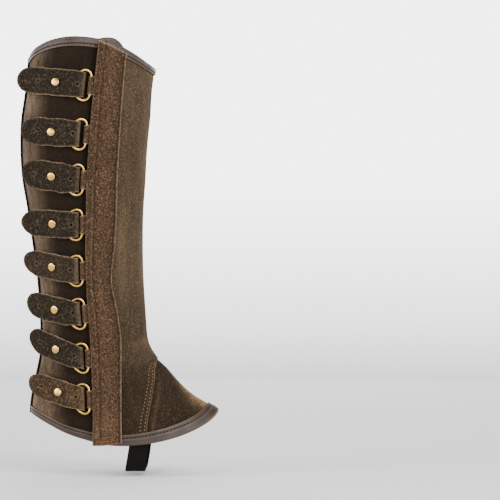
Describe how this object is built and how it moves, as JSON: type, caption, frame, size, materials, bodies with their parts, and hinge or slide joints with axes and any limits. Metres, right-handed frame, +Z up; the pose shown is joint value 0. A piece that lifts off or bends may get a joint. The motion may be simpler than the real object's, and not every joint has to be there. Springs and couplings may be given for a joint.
{
  "type": "half chap",
  "caption": "Suede half chap for the lower leg, shown as worn: wrapped calf panels, instep gusset, straps through D-rings and an under-foot elastic.",
  "frame": {"origin": "on the leg's axis in the calf hollow, where the leg holds the chap up", "axes": "+Z up along the leg, +X forward over the instep, -Y to the outer side with the straps"},
  "size_m": [0.2134, 0.1234, 0.4588],
  "materials": {
    "dark_suede": "dark brown suede with a short rubbed nap",
    "brown_suede": "brown suede, speckled, matt",
    "strip_suede": "lighter brown suede, strongly speckled",
    "patch_suede": "brown suede, rubbed smoother by use",
    "smooth_leather": "smooth brown leather with a low gloss",
    "brass": "polished pale brass",
    "black_elastic": "woven black elastic, ribbed lengthwise"
  },
  "bodies": {
    "root": {"rear_panel": "dark_suede", "main_panel": "brown_suede", "instep_gusset": "brown_suede", "closure_strip": "strip_suede", "grip_patch": "patch_suede", "rim_binding_rear": "smooth_leather", "rim_binding_front": "smooth_leather", "hem_binding_rear": "smooth_leather", "hem_binding_front": "smooth_leather", "back_welt": "smooth_leather", "foot_elastic": "black_elastic", "strap_1": "dark_suede", "strap_2": "dark_suede", "strap_3": "dark_suede", "strap_4": "dark_suede", "strap_5": "dark_suede", "strap_6": "dark_suede", "strap_7": "dark_suede", "strap_8": "dark_suede", "d_ring_1": "brass", "d_ring_2": "brass", "d_ring_3": "brass", "d_ring_4": "brass", "d_ring_5": "brass", "d_ring_6": "brass", "d_ring_7": "brass", "d_ring_8": "brass", "ring_tab_1": "strip_suede", "ring_tab_2": "strip_suede", "ring_tab_3": "strip_suede", "ring_tab_4": "strip_suede", "ring_tab_5": "strip_suede", "ring_tab_6": "strip_suede", "ring_tab_7": "strip_suede", "ring_tab_8": "strip_suede", "stud_1": "brass", "stud_2": "brass", "stud_3": "brass", "stud_4": "brass", "stud_5": "brass", "stud_6": "brass", "stud_7": "brass", "stud_8": "brass"}
  },
  "joints": []
}
